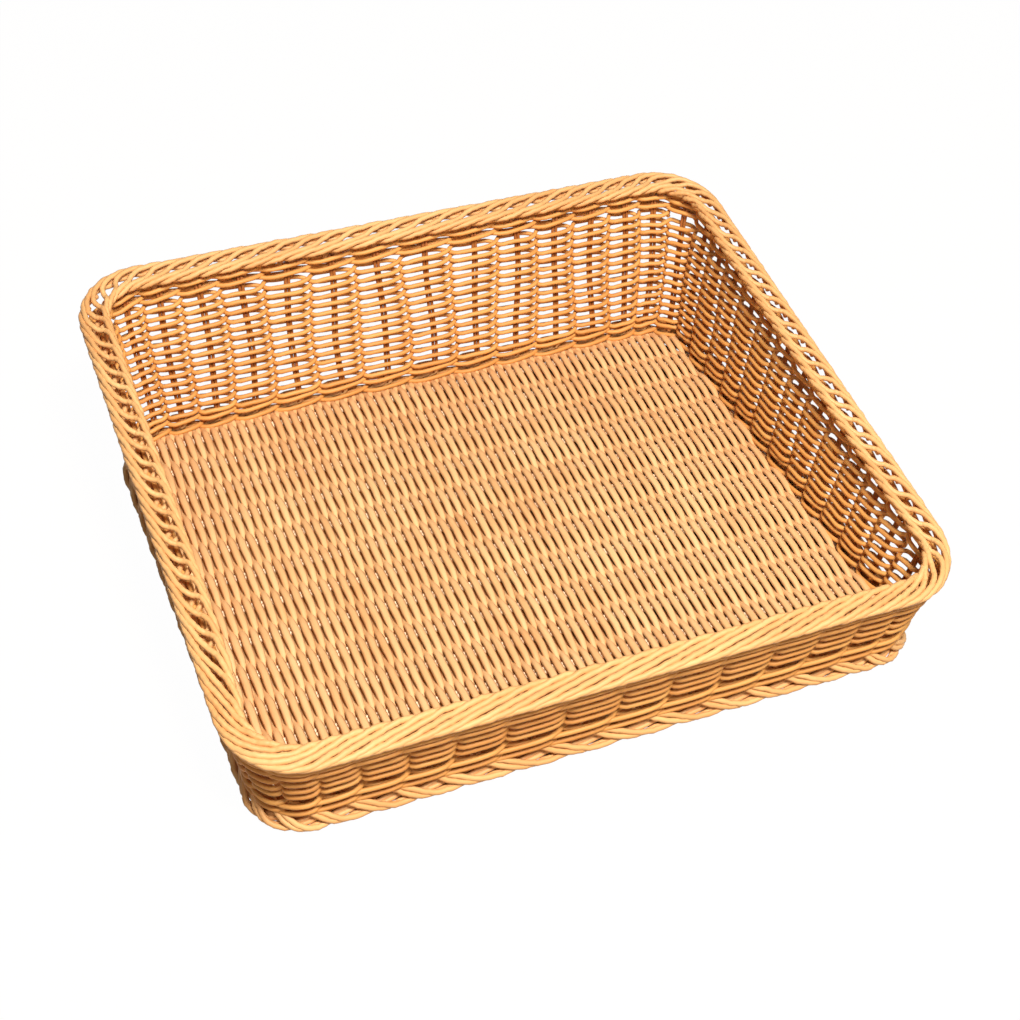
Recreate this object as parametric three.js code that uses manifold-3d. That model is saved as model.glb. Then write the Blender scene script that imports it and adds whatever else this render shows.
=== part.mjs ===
import * as THREE from "three";
import { mergeVertices } from "three/addons/utils/BufferGeometryUtils.js";
import Module from "manifold-3d";

// A shallow rectangular basket of woven plastic cane, open on top, whose rim slopes down to a low front.
// Millimetres, +Z up, +Y towards the high back wall, origin on the resting surface under the middle.

const wasm = await Module();
wasm.setup();

// Driving sizes of the whole basket
const rimWidth = 600;
const rimDepth = 524;
const backHeight = 177;
const frontHeight = 98;
const rimCornerRadius = 58;
const footWidth = 560;
const footDepth = 474;
const footCornerRadius = 48;
const floorHeight = 20.5;

// Driving sizes of the cane and its spacing
const stakeSpacing = 47;
const stakeWidth = 8;
const cornerStakeWidth = 5;
const stakeThickness = 4;
const strandWidth = 3.6;
const strandHeight = 2.6;
const rowSpacing = 7.8;
const waleStrandHeight = 4.2;
const stickSpacing = 36.6;
const stickWidth = 7.6;
const stickThickness = 3.4;
const weaverSpacing = 4.1;
const weaverThickness = 3.2;
const ribDepth = 1.6;

// Driving sizes of the two plaited edges
const rimRopeDiameter = 11;
const rimRopeDrop = 1.5;
const rimOpenBand = 5.7;
const footBorderWidth = 10;
const footBorderHeight = 21.5;
const footFlare = 5;
const footFlat = 3.3;
const stakeTuck = 7;

// Clearances: between pieces that touch, between a stake's top and the groove that it stands in, and
// between a strand and the stakes that it passes
const seatGap = 0.3;
const grooveGap = 1.2;
const passGap = 1.4;
const cornerPassGap = 3;

// Counts and shares
const cornerSpans = 2;
const rimStrandsPerSpan = 2;
const footStrandsPerSpan = 2;
const stepsPerStrand = 2;
const cornerFacets = 5;
const caneFlat = 0.4;
const turnReach = 0.3;
const turnShare = 0.6;

const overWidth = rimWidth * 2;

// Materials

function cane(color) {
  return new THREE.MeshStandardMaterial({ color, roughness: 0.42, metalness: 0 });
}

const honeyCane = cane(0xe0a05a);
const paleCane = cane(0xeab774);
const deepCane = cane(0xc88443);

// Plans of the basket: rounded rectangles, walked in spans from stake to stake

const rimPlan = {
  halfWidth: rimWidth / 2 - rimRopeDiameter,
  halfDepth: rimDepth / 2 - rimRopeDiameter,
  radius: rimCornerRadius - rimRopeDiameter,
};
const footPlan = {
  halfWidth: (footWidth - footBorderWidth) / 2,
  halfDepth: (footDepth - footBorderWidth) / 2,
  radius: footCornerRadius - footBorderWidth / 2,
};

function straightSpans(rimHalf, footHalf) {
  const length = rimHalf - rimPlan.radius + footHalf - footPlan.radius;
  return Math.max(2, Math.round(length / stakeSpacing));
}

const longSpans = straightSpans(rimPlan.halfWidth, footPlan.halfWidth);
const shortSpans = straightSpans(rimPlan.halfDepth, footPlan.halfDepth);
const stakeCount = 2 * (longSpans + shortSpans + 2 * cornerSpans);

function inset(plan, distance) {
  return {
    halfWidth: plan.halfWidth - distance,
    halfDepth: plan.halfDepth - distance,
    radius: plan.radius - distance,
  };
}

// The line of stakes where the wall leaves the foot border, whose top lies further in than its bottom
const wallFootPlan = inset(footPlan, footFlare / 2);

// The point and outward direction that lie a number of spans round the plan, anticlockwise from the
// left end of the front side, and whether it lies on a rounded corner or within one
function planPoint(plan, spans) {
  const x = plan.halfWidth - plan.radius;
  const y = plan.halfDepth - plan.radius;
  const sides = [
    { count: longSpans, from: [-x, -y], to: [x, -y], turn: -90 },
    { count: shortSpans, from: [x, -y], to: [x, y], turn: 0 },
    { count: longSpans, from: [x, y], to: [-x, y], turn: 90 },
    { count: shortSpans, from: [-x, y], to: [-x, -y], turn: 180 },
  ];
  let rest = ((spans % stakeCount) + stakeCount) % stakeCount;
  let side = sides[0];
  for (const next of sides) {
    side = next;
    if (rest < side.count + cornerSpans) break;
    rest -= side.count + cornerSpans;
  }
  const along = Math.min(rest / side.count, 1);
  const round = Math.max(0, rest - side.count) / cornerSpans;
  const angle = THREE.MathUtils.degToRad(side.turn + 90 * round);
  const outward = new THREE.Vector2(Math.cos(angle), Math.sin(angle));
  const centre = new THREE.Vector2(
    THREE.MathUtils.lerp(side.from[0], side.to[0], along),
    THREE.MathUtils.lerp(side.from[1], side.to[1], along),
  );
  return {
    point: centre.addScaledVector(outward, plan.radius),
    outward,
    onCorner: rest === 0 || rest >= side.count,
    inCorner: rest > side.count,
  };
}

// Heights

function rimTop(y) {
  return THREE.MathUtils.mapLinear(y, -rimDepth / 2, rimDepth / 2, frontHeight, backHeight);
}

// The underside of the rim over the line of stakes: its outer ridge lies half a rope further down the slope
const rimSlope = (backHeight - frontHeight) / rimDepth;
const rimThickness = rimRopeDiameter + rimRopeDrop + rimSlope * (rimRopeDiameter / 2 + seatGap);

function rimSeat(y) {
  return rimTop(y) - rimThickness - seatGap;
}

// The stakes' tops reach up into the groove between the rim's two ridges
function stakeTop(y) {
  return rimSeat(y) + seatGap + (rimRopeDiameter - stakeThickness) / 2 - grooveGap;
}

const footTop = footBorderHeight - footFlat;
const ribValley = floorHeight - ribDepth;
const stickTop = floorHeight - weaverThickness - seatGap;
const stickBottom = stickTop - stickThickness;
const matBottom = stickBottom;

// How far a height has come from the top of the foot border to the rim's underside
function wallRise(height, seat) {
  return (height - footTop) / (seat - footTop);
}

// A point of the leaning wall: spans along it, at a height, and outwards from the line of stakes
function wallPoint(spans, height, outwards) {
  const low = planPoint(inset(wallFootPlan, -outwards), spans);
  const high = planPoint(inset(rimPlan, -outwards), spans);
  const at = low.point.clone().lerp(high.point, wallRise(height, rimSeat(high.point.y)));
  return new THREE.Vector3(at.x, at.y, height);
}

// The plan of the line of stakes at a height, where the rim's underside is so high
function wallPlan(height, seat) {
  const between = (low, high) => THREE.MathUtils.lerp(low, high, wallRise(height, seat));
  return {
    halfWidth: between(wallFootPlan.halfWidth, rimPlan.halfWidth),
    halfDepth: between(wallFootPlan.halfDepth, rimPlan.halfDepth),
    radius: between(wallFootPlan.radius, rimPlan.radius),
  };
}

// Solids

// A closed solid through sections that each list the same number of points, joined to a loop or
// capped; a twisted one bulges if its faces are split along the diagonal that follows the twist
function loft(sections, loop, rightTwist = true) {
  const size = sections[0].length;
  const index = [];
  const last = loop ? sections.length : sections.length - 1;
  for (let i = 0; i < last; i++) {
    const a = i * size;
    const b = ((i + 1) % sections.length) * size;
    for (let j = 0; j < size; j++) {
      const k = (j + 1) % size;
      if (rightTwist) index.push(a + j, a + k, b + k, a + j, b + k, b + j);
      else index.push(a + j, a + k, b + j, a + k, b + k, b + j);
    }
  }
  if (!loop) {
    const end = (sections.length - 1) * size;
    for (let j = 1; j < size - 1; j++) {
      index.push(0, j + 1, j, end, end + j, end + j + 1);
    }
  }
  const geometry = new THREE.BufferGeometry().setFromPoints(sections.flat());
  return geometry.setIndex(index);
}

function toSolid(geometry) {
  const bare = geometry.index ? geometry.toNonIndexed() : geometry.clone();
  bare.deleteAttribute("normal");
  bare.deleteAttribute("uv");
  const merged = mergeVertices(bare, 1e-4);
  return new wasm.Manifold(
    new wasm.Mesh({
      numProp: 3,
      vertProperties: merged.attributes.position.array,
      triVerts: new Uint32Array(merged.index.array),
    }),
  );
}

function toGeometry(solid) {
  const mesh = solid.getMesh();
  const geometry = new THREE.BufferGeometry();
  geometry.setAttribute("position", new THREE.BufferAttribute(mesh.vertProperties, 3));
  return geometry.setIndex(new THREE.BufferAttribute(mesh.triVerts, 1));
}

function box(width, depth, height, x, y, z) {
  return toSolid(new THREE.BoxGeometry(width, depth, height).translate(x, y, z));
}

// The outline of a plan as a flat shape
function planShape(plan) {
  const x = plan.halfWidth - plan.radius;
  const y = plan.halfDepth - plan.radius;
  const shape = new THREE.Shape();
  shape.absarc(x, -y, plan.radius, -Math.PI / 2, 0);
  shape.absarc(x, y, plan.radius, 0, Math.PI / 2);
  shape.absarc(-x, y, plan.radius, Math.PI / 2, Math.PI);
  shape.absarc(-x, -y, plan.radius, Math.PI, 1.5 * Math.PI);
  return shape;
}

// Stakes: flat double uprights, one at each whole span

function stake(spans) {
  const { outward, inCorner } = planPoint(footPlan, spans);
  const side = (inCorner ? cornerStakeWidth : stakeWidth) / 2;
  const flat = side * caneFlat;
  const half = stakeThickness / 2;
  const outline = [
    [side, 0],
    [flat, half],
    [-flat, half],
    [-side, 0],
    [-flat, -half],
    [flat, -half],
  ];
  const top = stakeTop(planPoint(rimPlan, spans).point.y);
  const sections = [footTop - stakeTuck, top].map((height) => {
    const centre = wallPoint(spans, height, 0);
    return outline.map(
      ([along, out]) =>
        new THREE.Vector3(
          centre.x - along * outward.y + out * outward.x,
          centre.y + along * outward.x + out * outward.y,
          height,
        ),
    );
  });
  return loft(
    sections.map((section) => section.reverse()),
    false,
  );
}

// A plaited edge: a four-sided rope that runs round a plan and turns once a strand, so its corners lie
// slanted side by side like the strands of the plait; a flare spreads its lower side outwards, and
// what would reach below the resting surface is pressed flat on it
function rope(plan, width, height, flare, heightAt, strandsPerSpan, hand) {
  const sections = [];
  const steps = stakeCount * strandsPerSpan * stepsPerStrand;
  for (let i = 0; i < steps; i++) {
    const { point, outward } = planPoint(plan, (i * stakeCount) / steps);
    const twist = (hand * i * Math.PI) / 2 / stepsPerStrand;
    const section = [];
    for (let corner = 0; corner < 4; corner++) {
      const angle = twist + (corner * Math.PI) / 2;
      const out = (width * Math.cos(angle) - flare * Math.sin(angle)) / 2;
      const up = (height * Math.sin(angle)) / 2;
      section.push(
        new THREE.Vector3(
          point.x + out * outward.x,
          point.y + out * outward.y,
          Math.max(heightAt(point.y) + up, 0),
        ),
      );
    }
    sections.push(section.reverse());
  }
  return loft(sections, true, hand > 0);
}

// The foot border is plaited from the lower ends of the stakes, so both are one piece

function stakesAndFoot() {
  const middle = footBorderHeight / 2 - footFlat;
  const border = rope(
    footPlan,
    footBorderWidth,
    footBorderHeight,
    footFlare,
    () => middle,
    footStrandsPerSpan,
    -1,
  );
  let solid = toSolid(border);
  for (let k = 0; k < stakeCount; k++) {
    solid = solid.add(toSolid(stake(k)));
  }
  return solid;
}

// Twined rows: one strand laid double, which passes each stake on both sides and crosses itself
// between them

const passBy = stakeThickness / 2 + strandWidth / 2 + passGap;
const cornerPassBy = stakeThickness / 2 + strandWidth / 2 + cornerPassGap;
const turnSide = turnShare * passBy;

// A strand's section: shares of its width and height, across and up from its middle
const ridgedStrand = [
  [0.5, -0.5],
  [-0.5, -0.5],
  [0, 0.5],
];
const flatStrand = [
  [0.5, -0.5],
  [-0.5, -0.5],
  [-0.5, 0.5],
  [0.5, 0.5],
];

// Half the height of a row whose strand is so high
function halfRow(strand) {
  return strand + seatGap / 2;
}

function twinedRow(first, last, section, height, heightAt) {
  const crossRise = (height + seatGap) / 2;
  const turnRise = crossRise / 3;
  const path = [];
  const visit = (spans, side, rise) => {
    const level = heightAt(planPoint(rimPlan, spans).point.y);
    path.push(wallPoint(spans, level + rise, side));
  };
  const sideOf = (spans, outside) => {
    if (!outside) return -passBy;
    return planPoint(rimPlan, spans).onCorner ? cornerPassBy : passBy;
  };
  const evenOutside = (spans) => spans % 2 === 0;
  for (let k = first; k <= last; k++) visit(k, sideOf(k, evenOutside(k)), crossRise);
  const turnAtLast = evenOutside(last) ? turnSide : -turnSide;
  visit(last + turnReach, turnAtLast, turnRise);
  visit(last + turnReach, -turnAtLast, -turnRise);
  for (let k = last; k >= first; k--) visit(k, sideOf(k, !evenOutside(k)), -crossRise);
  const turnAtFirst = evenOutside(first) ? turnSide : -turnSide;
  visit(first - turnReach, -turnAtFirst, -turnRise);
  visit(first - turnReach, turnAtFirst, turnRise);
  const sections = path.map((point, i) => {
    const before = path.at(i - 1);
    const after = path[(i + 1) % path.length];
    const arriving = new THREE.Vector2(point.x - before.x, point.y - before.y).normalize();
    const leaving = new THREE.Vector2(after.x - point.x, after.y - point.y).normalize();
    const along = arriving.clone().add(leaving).normalize();
    const width = strandWidth / along.dot(leaving);
    return section.map(
      ([across, up]) =>
        new THREE.Vector3(
          point.x + across * width * along.y,
          point.y - across * width * along.x,
          point.z + up * height,
        ),
    );
  });
  return loft(sections, true);
}

function upperWaleHeight(y) {
  return rimSeat(y) - rimOpenBand - halfRow(waleStrandHeight);
}

const lowerWaleHeight = footTop + seatGap + halfRow(waleStrandHeight);
const openGap = rowSpacing - 2 * halfRow(strandHeight);
const waleToRow = halfRow(waleStrandHeight) + openGap + halfRow(strandHeight);

// The row just under the upper wale slopes with it
function slopingRowHeight(y) {
  return upperWaleHeight(y) - waleToRow;
}

// The level rows: the low ones go all round, and the higher ones stop at the side walls where the
// sloping row comes down to them
function levelRows() {
  const rows = [];
  for (let height = lowerWaleHeight + waleToRow; height < backHeight; height += rowSpacing) {
    const crossed = [];
    for (let k = 0; k < stakeCount; k++) {
      const { y } = planPoint(rimPlan, k).point;
      if (height + rowSpacing <= slopingRowHeight(y)) crossed.push(k);
    }
    if (crossed.length < longSpans) break;
    rows.push(twinedRow(crossed[0], crossed.at(-1), ridgedStrand, strandHeight, () => height));
  }
  return rows;
}

// Floor

// The mat is seated against the inner strands of the lower wale, which lie a little further out than
// the foot border's top because the walls lean; the tall back wall leans least
const waleInnerHeight = lowerWaleHeight - halfRow(waleStrandHeight) / 2;
const waleInnerPlan = wallPlan(waleInnerHeight, rimSeat(rimPlan.halfDepth));
const matPlan = inset(waleInnerPlan, passBy + strandWidth / 2 + seatGap);

function stickPlaces() {
  const count = Math.floor((2 * matPlan.halfDepth) / stickSpacing);
  return Array.from({ length: count }, (_, i) => (i - (count - 1) / 2) * stickSpacing);
}

// A floor stick is two round canes side by side, seen as one outline with a waist
function floorStick(y) {
  const radius = stickWidth / 4;
  const low = stickThickness / 2;
  const near = radius * (1 - caneFlat);
  const far = radius * (1 + caneFlat);
  const waist = low * (1 - caneFlat);
  const outline = new THREE.Shape();
  outline.moveTo(0, -waist);
  outline.lineTo(near, -low);
  outline.lineTo(far, -low);
  outline.lineTo(2 * radius, 0);
  outline.lineTo(far, low);
  outline.lineTo(near, low);
  outline.lineTo(0, waist);
  outline.lineTo(-near, low);
  outline.lineTo(-far, low);
  outline.lineTo(-2 * radius, 0);
  outline.lineTo(-far, -low);
  outline.lineTo(-near, -low);
  const past = Math.max(0, Math.abs(y) + stickWidth / 2 - (matPlan.halfDepth - matPlan.radius));
  const bend = matPlan.radius - Math.sqrt(matPlan.radius ** 2 - past ** 2);
  const reach = matPlan.halfWidth - bend;
  return new THREE.ExtrudeGeometry(outline, { depth: 2 * reach, bevelEnabled: false })
    .translate(0, 0, -reach)
    .rotateY(Math.PI / 2)
    .rotateX(Math.PI / 2)
    .translate(0, y, (stickBottom + stickTop) / 2);
}

// The floor mat: canes lying side by side from front to back, a rib each, with a channel below for
// every stick, trimmed to the rounded outline inside the walls
function floorMat() {
  const count = Math.round((2 * matPlan.halfWidth) / weaverSpacing);
  const pitch = (2 * matPlan.halfWidth) / count;
  const profile = new THREE.Shape();
  profile.moveTo(matPlan.halfWidth, matBottom);
  profile.lineTo(matPlan.halfWidth, ribValley);
  for (let i = 0; i < count; i++) {
    const right = matPlan.halfWidth - i * pitch;
    profile.lineTo(right - pitch / 2, ribValley + ribDepth);
    profile.lineTo(right - pitch, ribValley);
  }
  profile.lineTo(-matPlan.halfWidth, matBottom);
  const length = 2 * matPlan.halfDepth;
  const ribbed = new THREE.ExtrudeGeometry(profile, { depth: length, bevelEnabled: false })
    .rotateX(Math.PI / 2)
    .translate(0, length / 2, 0);
  const trim = new THREE.ExtrudeGeometry(planShape(matPlan), {
    depth: backHeight,
    bevelEnabled: false,
    curveSegments: cornerFacets,
  });
  let mat = toSolid(ribbed).intersect(toSolid(trim));
  const channelTop = stickTop + seatGap;
  for (const y of stickPlaces()) {
    const channelWidth = stickWidth + 2 * seatGap;
    mat = mat.subtract(
      box(overWidth, channelWidth, channelTop, 0, y, channelTop / 2),
    );
  }
  return toGeometry(mat);
}

// Assembly

const basket = new THREE.Group();

function addPiece(name, geometry, material) {
  const mesh = new THREE.Mesh(geometry, material);
  mesh.name = name;
  basket.add(mesh);
}

const numbered = (name, i) => name + "_" + String(i + 1).padStart(2, "0");

addPiece("stakes_and_foot_border", toGeometry(stakesAndFoot()), deepCane);
stickPlaces().forEach((y, i) => addPiece(numbered("floor_stick", i), floorStick(y), paleCane));
addPiece("floor_mat", floorMat(), honeyCane);
const allRound = stakeCount - 1;
addPiece(
  "lower_wale",
  twinedRow(0, allRound, flatStrand, waleStrandHeight, () => lowerWaleHeight),
  honeyCane,
);
const rows = [
  twinedRow(0, allRound, ridgedStrand, strandHeight, slopingRowHeight),
  ...levelRows(),
];
rows.forEach((row, i) => addPiece(numbered("weave_row", i), row, i % 2 ? paleCane : honeyCane));
addPiece(
  "upper_wale",
  twinedRow(0, allRound, flatStrand, waleStrandHeight, upperWaleHeight),
  honeyCane,
);

const ropeOffset = (rimRopeDiameter + seatGap) / 2;
const ridgeHeight = (y) => rimTop(y) - rimRopeDiameter / 2;
const outerRidgeHeight = (y) => ridgeHeight(y) - rimRopeDrop;

function rimRidge(plan, heightAt) {
  return rope(plan, rimRopeDiameter, rimRopeDiameter, 0, heightAt, rimStrandsPerSpan, 1);
}

addPiece("rim_inner_ridge", rimRidge(inset(rimPlan, ropeOffset), ridgeHeight), paleCane);
addPiece("rim_outer_ridge", rimRidge(inset(rimPlan, -ropeOffset), outerRidgeHeight), honeyCane);

export default basket;
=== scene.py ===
import math

import bpy
import numpy as np
from bpy.props import FloatProperty, FloatVectorProperty, IntProperty, PointerProperty
from bpy.types import Operator, Panel, PropertyGroup
from mathutils import Matrix, Vector


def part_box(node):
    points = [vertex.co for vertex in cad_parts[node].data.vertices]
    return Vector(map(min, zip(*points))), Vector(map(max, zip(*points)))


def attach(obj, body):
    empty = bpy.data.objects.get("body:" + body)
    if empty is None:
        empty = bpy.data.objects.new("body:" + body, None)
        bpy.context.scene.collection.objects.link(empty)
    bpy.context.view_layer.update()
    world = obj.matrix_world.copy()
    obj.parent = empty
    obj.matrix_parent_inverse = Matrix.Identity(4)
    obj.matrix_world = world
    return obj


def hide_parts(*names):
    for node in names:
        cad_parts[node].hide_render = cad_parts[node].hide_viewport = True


bl_info = {
    "name": "Poly Rattan Basket",
    "version": (1, 0, 0),
    "blender": (4, 5, 0),
    "location": "3D View > Sidebar > Basket",
    "description": "Weaves a sloping display basket of plastic cane on its measured frame",
    "category": "Add Mesh",
}

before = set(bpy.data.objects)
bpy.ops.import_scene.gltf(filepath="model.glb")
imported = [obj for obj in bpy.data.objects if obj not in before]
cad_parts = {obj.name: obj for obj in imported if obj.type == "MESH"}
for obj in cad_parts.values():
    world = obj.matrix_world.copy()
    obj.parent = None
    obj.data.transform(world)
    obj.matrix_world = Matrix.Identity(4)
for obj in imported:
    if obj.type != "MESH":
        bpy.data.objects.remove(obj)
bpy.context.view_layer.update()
rim_low, rim_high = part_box("rim_outer_ridge")
wale_low, wale_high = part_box("lower_wale")

# Room that the measured solids leave between two pieces that rest on each other
SEAT_GAP = 0.0003

# Spans between stakes along the front, right, back and left sides, and round each corner
SIDE_SPANS = (11, 12, 11, 12)
CORNER_SPANS = 3
STAKES = sum(SIDE_SPANS) + 4 * CORNER_SPANS
SEED = 7

# Half the space between the two canes of a stake, in spans
PAIR_SPREAD = 0.047

# How far the canes stray from their paths, in metres. Held canes are pressed against others.
ROW_STRAY = 0.0005
STICK_STRAY = 0.0004
BORDER_STRAY = 0.0003
LOOSE_STRAY = 0.00025
HELD_STRAY = 0.0002

# How far stakes lean, in spans, and rows lie off level, in metres, by slow waves round the basket.
# A wave is its turns in one way round, its change with each metre of height, and its phase.
SWAY = 0.03
SWAY_WAVES = ((11, 31, 0), (17, -47, 1))
SETTLING = 0.0006
SETTLING_WAVES = ((7, 23, 0), (13, -29, 2))
SETTLING_HEIGHT = 0.05

# How a border cane travels: half spans gone, then millimetres outwards from the line of stakes and
# up from just below the rim's plane. It leaves its stake, climbs the inside of the rim, lies on the
# inner ridge, crosses the groove and sinks round the outer ridge.
RIM_TRACK = [
    (-0.5, 0.0, -20.0),
    (-0.35, 0.0, -14.0),
    (-0.22, -1.8, -9.8),
    (-0.08, -5.4, -7.0),
    (0.2, -9.0, -4.9),
    (0.6, -10.4, -2.4),
    (1.0, -9.9, -0.4),
    (1.4, -8.6, 0.4),
    (1.8, -7.0, 0.5),
    (2.15, -4.4, -0.6),
    (2.5, -0.9, -1.2),
    (2.85, 2.4, -0.4),
    (3.2, 5.0, 0.4),
    (3.7, 7.3, 0.5),
    (4.2, 9.0, -0.6),
    (4.7, 10.0, -2.4),
    (5.2, 10.0, -4.2),
    (5.7, 9.3, -5.9),
    (6.2, 8.0, -7.0),
    (6.6, 6.6, -7.3),
]

# How a cane leaves the foot of its stake: spans gone, then millimetres outwards from the line of
# stakes and above the ground
FOOT_TRACK = [
    (-0.02, 0.0, 28.0),
    (-0.01, 0.2, 24.0),
    (0.05, 1.2, 20.0),
    (0.2, 3.4, 16.5),
    (0.45, 6.2, 12.0),
    (0.7, 8.6, 7.6),
    (0.95, 9.6, 4.4),
    (1.25, 8.6, 2.6),
    (1.6, 6.0, 2.6),
    (2.0, 3.0, 4.2),
    (2.5, 0.4, 7.2),
    (3.0, -1.6, 10.5),
]


class BasketSizes(PropertyGroup):
    """The basket's own sizes, which every piece is woven to"""

    width: FloatProperty(
        name="Width",
        description="Across the rim from side to side",
        default=rim_high.x - rim_low.x,
        unit="LENGTH",
    )
    depth: FloatProperty(
        name="Depth",
        description="Across the rim from front to back",
        default=rim_high.y - rim_low.y,
        unit="LENGTH",
    )
    back_height: FloatProperty(
        name="Back height",
        description="From the ground to the top of the rim's plane at the back",
        default=0.176,
        unit="LENGTH",
    )
    front_height: FloatProperty(
        name="Front height",
        description="From the ground to the top of the rim's plane at the front",
        default=0.098,
        unit="LENGTH",
    )
    rim_overhang: FloatProperty(
        name="Rim overhang",
        description="From the line of stakes to the outer edge of the rim",
        default=0.0128,
        unit="LENGTH",
    )
    rim_corner: FloatProperty(
        name="Rim corner",
        description="Radius of the line of stakes in the corners at the rim",
        default=0.047,
        unit="LENGTH",
    )
    foot_width: FloatProperty(
        name="Foot width",
        description="Between the lines of stakes on the foot, from side to side",
        default=0.543,
        unit="LENGTH",
    )
    foot_depth: FloatProperty(
        name="Foot depth",
        description="Between the lines of stakes on the foot, from front to back",
        default=0.452,
        unit="LENGTH",
    )
    foot_corner: FloatProperty(
        name="Foot corner",
        description="Radius of the line of stakes in the corners at the foot",
        default=0.034,
        unit="LENGTH",
    )
    foot_shift: FloatProperty(
        name="Foot shift",
        description="How far the foot stands towards the front, out from under the middle of the rim",
        default=0.0060,
        unit="LENGTH",
    )
    foot_top: FloatProperty(
        name="Foot top",
        description="Height of the foot border, where the walls start to lean",
        default=wale_low.z - SEAT_GAP,
        unit="LENGTH",
    )
    corner_lead: FloatProperty(
        name="Corner lead",
        description="From the last stake of the front or back to the start of the rounded corner",
        default=0.0167,
        unit="LENGTH",
    )
    seat_drop: FloatProperty(
        name="Seat drop",
        description="From the top of the rim down to the tops of the stakes",
        default=0.0145,
        unit="LENGTH",
    )
    crowding: FloatProperty(
        name="Crowding",
        description="Share by which the stakes of the front and back stand closer near the corners",
        default=0.13,
    )
    first_row: FloatProperty(
        name="First row",
        description="Height of the lowest open row of the back and sides",
        default=0.0335,
        unit="LENGTH",
    )
    row_pitch: FloatProperty(
        name="Row pitch",
        description="Between the open rows of the back and sides",
        default=0.0080,
        unit="LENGTH",
    )
    front_lift: FloatProperty(
        name="Front lift",
        description="How much higher the lowest open row lies along the front",
        default=0.0102,
        unit="LENGTH",
    )
    row_fan: FloatProperty(
        name="Row fan",
        description="Share by which the rows lie wider apart along the front",
        default=0.20,
    )
    wale_drop: FloatProperty(
        name="Wale drop",
        description="From the top of the rim down to the middle of the upper wale",
        default=0.0227,
        unit="LENGTH",
    )
    wale_slope: FloatProperty(
        name="Wale slope",
        description="How much further below the rim the upper wale lies for each metre towards the back",
        default=0.0064,
    )
    wale_pitch: FloatProperty(
        name="Wale pitch",
        description="Between the two rounds of a wale",
        default=0.0078,
        unit="LENGTH",
    )
    stick_pitch: FloatProperty(
        name="Stick pitch",
        description="Between the floor sticks",
        default=0.0366,
        unit="LENGTH",
    )
    weaver_pitch: FloatProperty(
        name="Weaver pitch",
        description="Between the floor weavers",
        default=0.0041,
        unit="LENGTH",
    )


class CaneSizes(PropertyGroup):
    """How thick the canes are and how far they bend round one another"""

    weave: FloatProperty(
        name="Weave cane",
        description="Thickness of the canes in the rows",
        default=0.0040,
        unit="LENGTH",
    )
    stake: FloatProperty(
        name="Stake cane",
        description="Thickness of the paired upright canes",
        default=0.0030,
        unit="LENGTH",
    )
    border: FloatProperty(
        name="Border cane",
        description="Thickness of the canes plaited into rim and foot",
        default=0.0046,
        unit="LENGTH",
    )
    stick: FloatProperty(
        name="Stick cane",
        description="Thickness of the paired canes under the floor",
        default=0.0036,
        unit="LENGTH",
    )
    weaver: FloatProperty(
        name="Weaver cane",
        description="Thickness of the floor weavers",
        default=0.0041,
        unit="LENGTH",
    )
    weaver_width: FloatProperty(
        name="Weaver width",
        description="Width of a floor weaver between the sticks, where it lies closest to its neighbours",
        default=0.0052,
        unit="LENGTH",
    )
    weaver_spread: FloatProperty(
        name="Weaver spread",
        description="How much wider a floor weaver lies where it passes over or under a stick",
        default=0.0017,
        unit="LENGTH",
    )
    slack: FloatProperty(
        name="Slack",
        description="Room between a row's cane and the stake that it passes",
        default=0.0019,
        unit="LENGTH",
    )
    sides: IntProperty(
        name="Sides",
        description="Faces round a cane",
        default=8,
        min=3,
    )
    weaver_sides: IntProperty(
        name="Weaver sides",
        description="Faces round a floor weaver",
        default=6,
        min=3,
    )


class CaneColours(PropertyGroup):
    """The colours of the canes by where they lie. The walls and stakes get darker copies of the cane
    colour, which is painted shade, and the sticks a paler one, which is partly their own paler cane and
    partly a painted highlight.
    """

    floor: FloatVectorProperty(
        name="Floor",
        description="Floor weavers",
        default=(0.76, 0.435, 0.180),
        subtype="COLOR",
    )
    # The sticks' pale colour is partly their own paler cane and partly a painted highlight for the light
    # they catch between the weavers
    sticks: FloatVectorProperty(
        name="Sticks",
        description="Floor sticks",
        default=(0.90, 0.66, 0.40),
        subtype="COLOR",
    )
    # Painted shade: the walls get a darker copy of the cane colour for the shade they lie in
    walls: FloatVectorProperty(
        name="Walls",
        description="Rows and wales",
        default=(0.70, 0.325, 0.080),
        subtype="COLOR",
    )
    # Painted shade: the stakes get a much darker copy of the cane colour for the deep shade they stand in
    # between the rows
    stakes: FloatVectorProperty(
        name="Stakes",
        description="Upright canes",
        default=(0.40, 0.13, 0.028),
        subtype="COLOR",
    )
    borders: FloatVectorProperty(
        name="Borders",
        description="Rim and foot",
        default=(0.74, 0.40, 0.145),
        subtype="COLOR",
    )


# Plans and walls


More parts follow.
